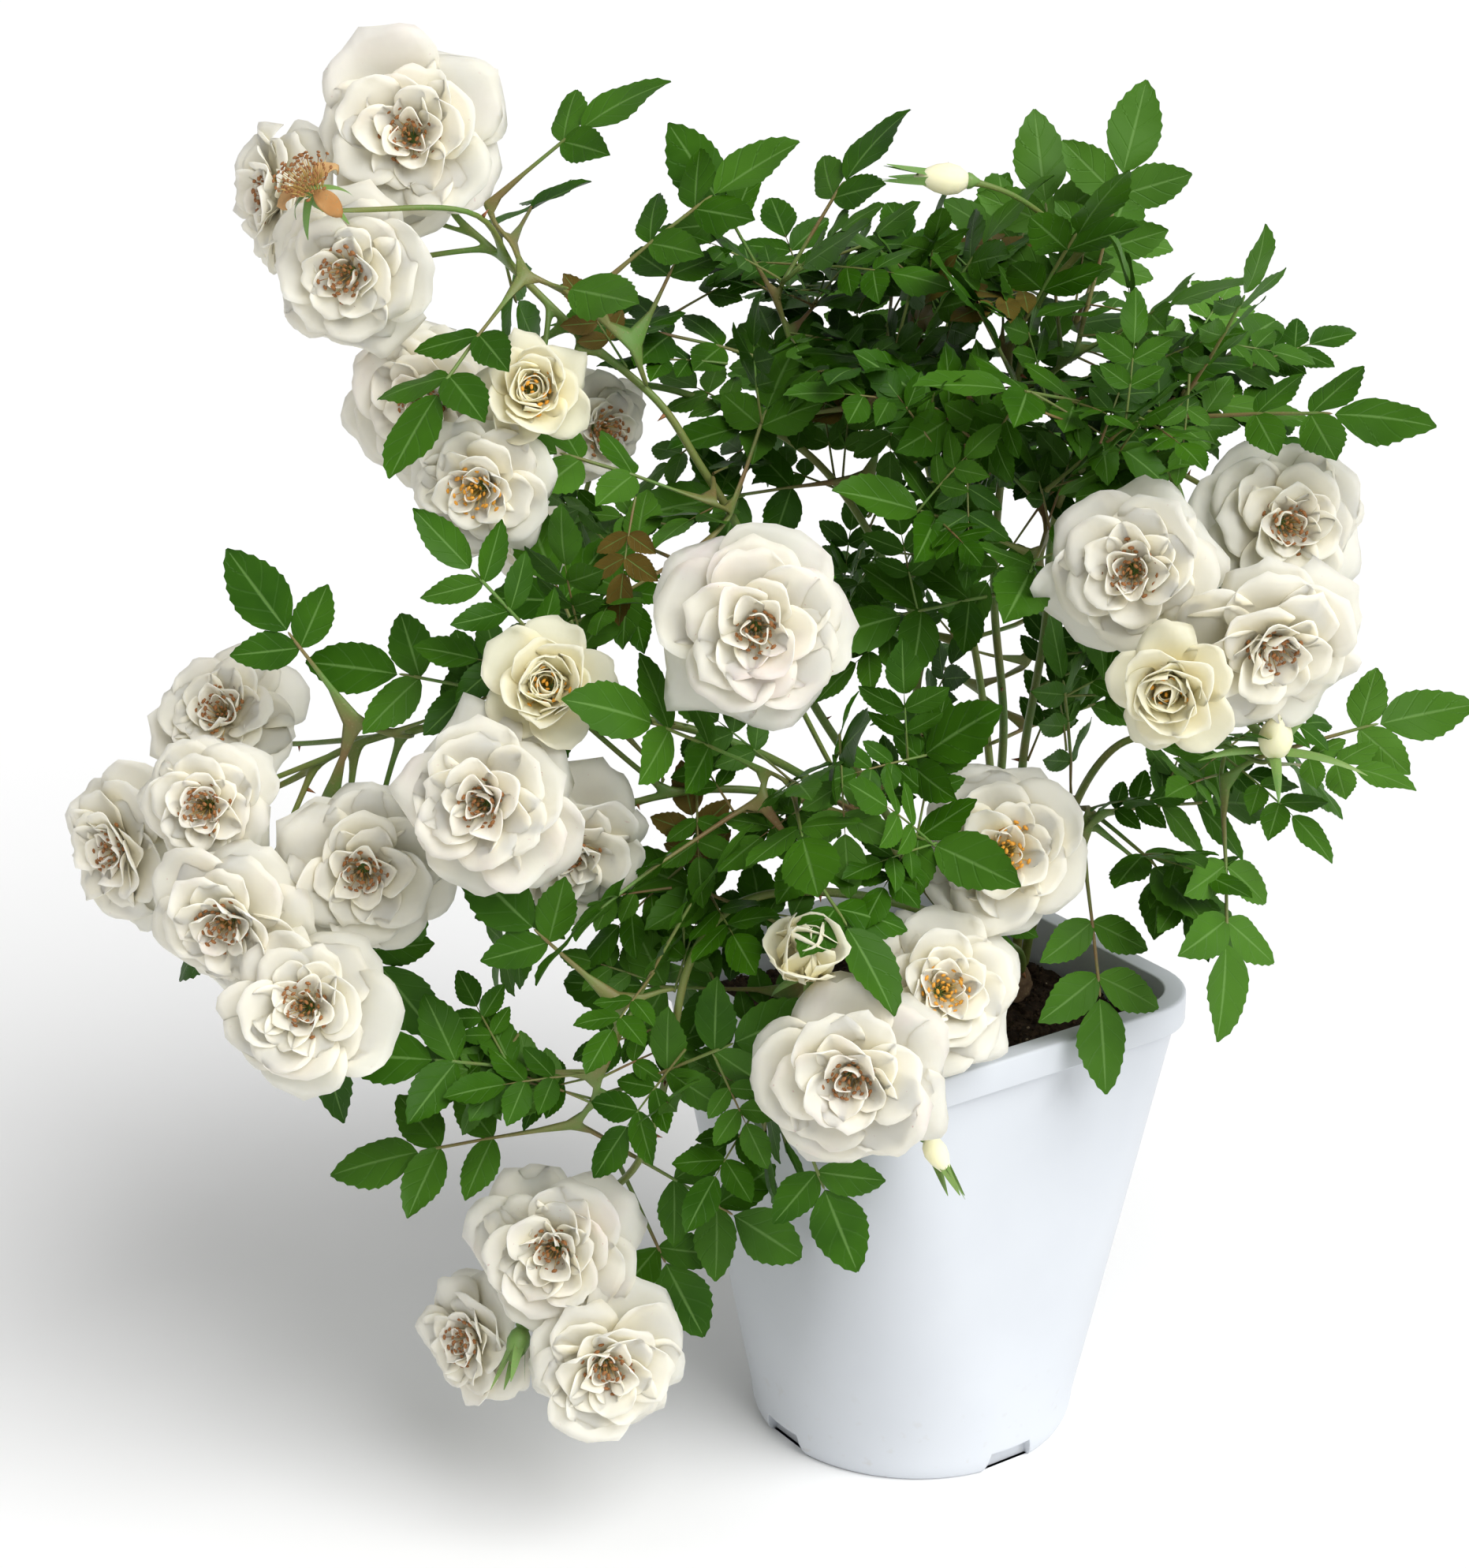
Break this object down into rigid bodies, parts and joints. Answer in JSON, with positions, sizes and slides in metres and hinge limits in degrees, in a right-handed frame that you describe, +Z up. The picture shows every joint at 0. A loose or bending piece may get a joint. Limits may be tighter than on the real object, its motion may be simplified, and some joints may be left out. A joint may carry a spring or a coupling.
{
  "type": "potted rose bush",
  "caption": "Bush rose with clusters of ivory double blooms, arching green canes and glossy leaves, in a square-topped pale plastic pot.",
  "frame": {"origin": "centre of the pot's flat underside", "axes": "+Z up; -Y is the front, towards which most blooms face; the hanging stems are on the -X side"},
  "size_m": [0.5718, 0.3925, 0.6088],
  "materials": {
    "pot_plastic": "satin moulded",
    "soil": "rough, crumbly",
    "woody_bark": "rough bark",
    "green_cane": "smooth green bark",
    "leaf": "waxy, slightly glossy",
    "ivory_petal": "soft, velvety",
    "cream_petal": "soft, velvety",
    "spent_bloom": "dry"
  },
  "bodies": {
    "root": {"bloom_back_1": "ivory_petal", "bloom_back_2": "ivory_petal", "bloom_centre": "ivory_petal", "bloom_front_1": "ivory_petal", "bloom_front_2": "ivory_petal", "bloom_front_3": "ivory_petal", "bloom_front_4": "cream_petal", "bloom_left_1": "ivory_petal", "bloom_left_2": "ivory_petal", "bloom_left_3": "ivory_petal", "bloom_left_4": "ivory_petal", "bloom_left_5": "ivory_petal", "bloom_left_6": "ivory_petal", "bloom_low_1": "ivory_petal", "bloom_low_2": "ivory_petal", "bloom_low_3": "ivory_petal", "bloom_middle_1": "cream_petal", "bloom_middle_2": "ivory_petal", "bloom_middle_3": "ivory_petal", "bloom_right_1": "ivory_petal", "bloom_right_2": "ivory_petal", "bloom_right_3": "ivory_petal", "bloom_right_4": "cream_petal", "bloom_top_1": "ivory_petal", "bloom_top_2": "ivory_petal", "bloom_top_3": "ivory_petal", "bloom_top_spent": "spent_bloom", "bloom_upper_1": "ivory_petal", "bloom_upper_2": "cream_petal", "bloom_upper_3": "ivory_petal", "cane_back": "green_cane", "cane_back_left": "green_cane", "cane_centre": "green_cane", "cane_front": "green_cane", "cane_left": "green_cane", "cane_lower_left": "green_cane", "cane_middle_right": "green_cane", "cane_right": "green_cane", "cane_top_right": "green_cane", "cane_upper_left": "green_cane", "crown": "woody_bark", "leaves_at_bend": "leaf", "leaves_back_high": "leaf", "leaves_back_left": "leaf", "leaves_back_low": "leaf", "leaves_centre": "leaf", "leaves_far_right": "leaf", "leaves_front": "leaf", "leaves_left": "leaf", "leaves_low_right": "leaf", "leaves_lower_left": "leaf", "leaves_middle_left": "leaf", "leaves_middle_right": "leaf", "leaves_right": "leaf", "leaves_top_centre": "leaf", "leaves_top_middle": "leaf", "leaves_top_right": "leaf", "leaves_upper_left": "leaf", "pot": "pot_plastic", "soil": "soil"}
  },
  "joints": []
}
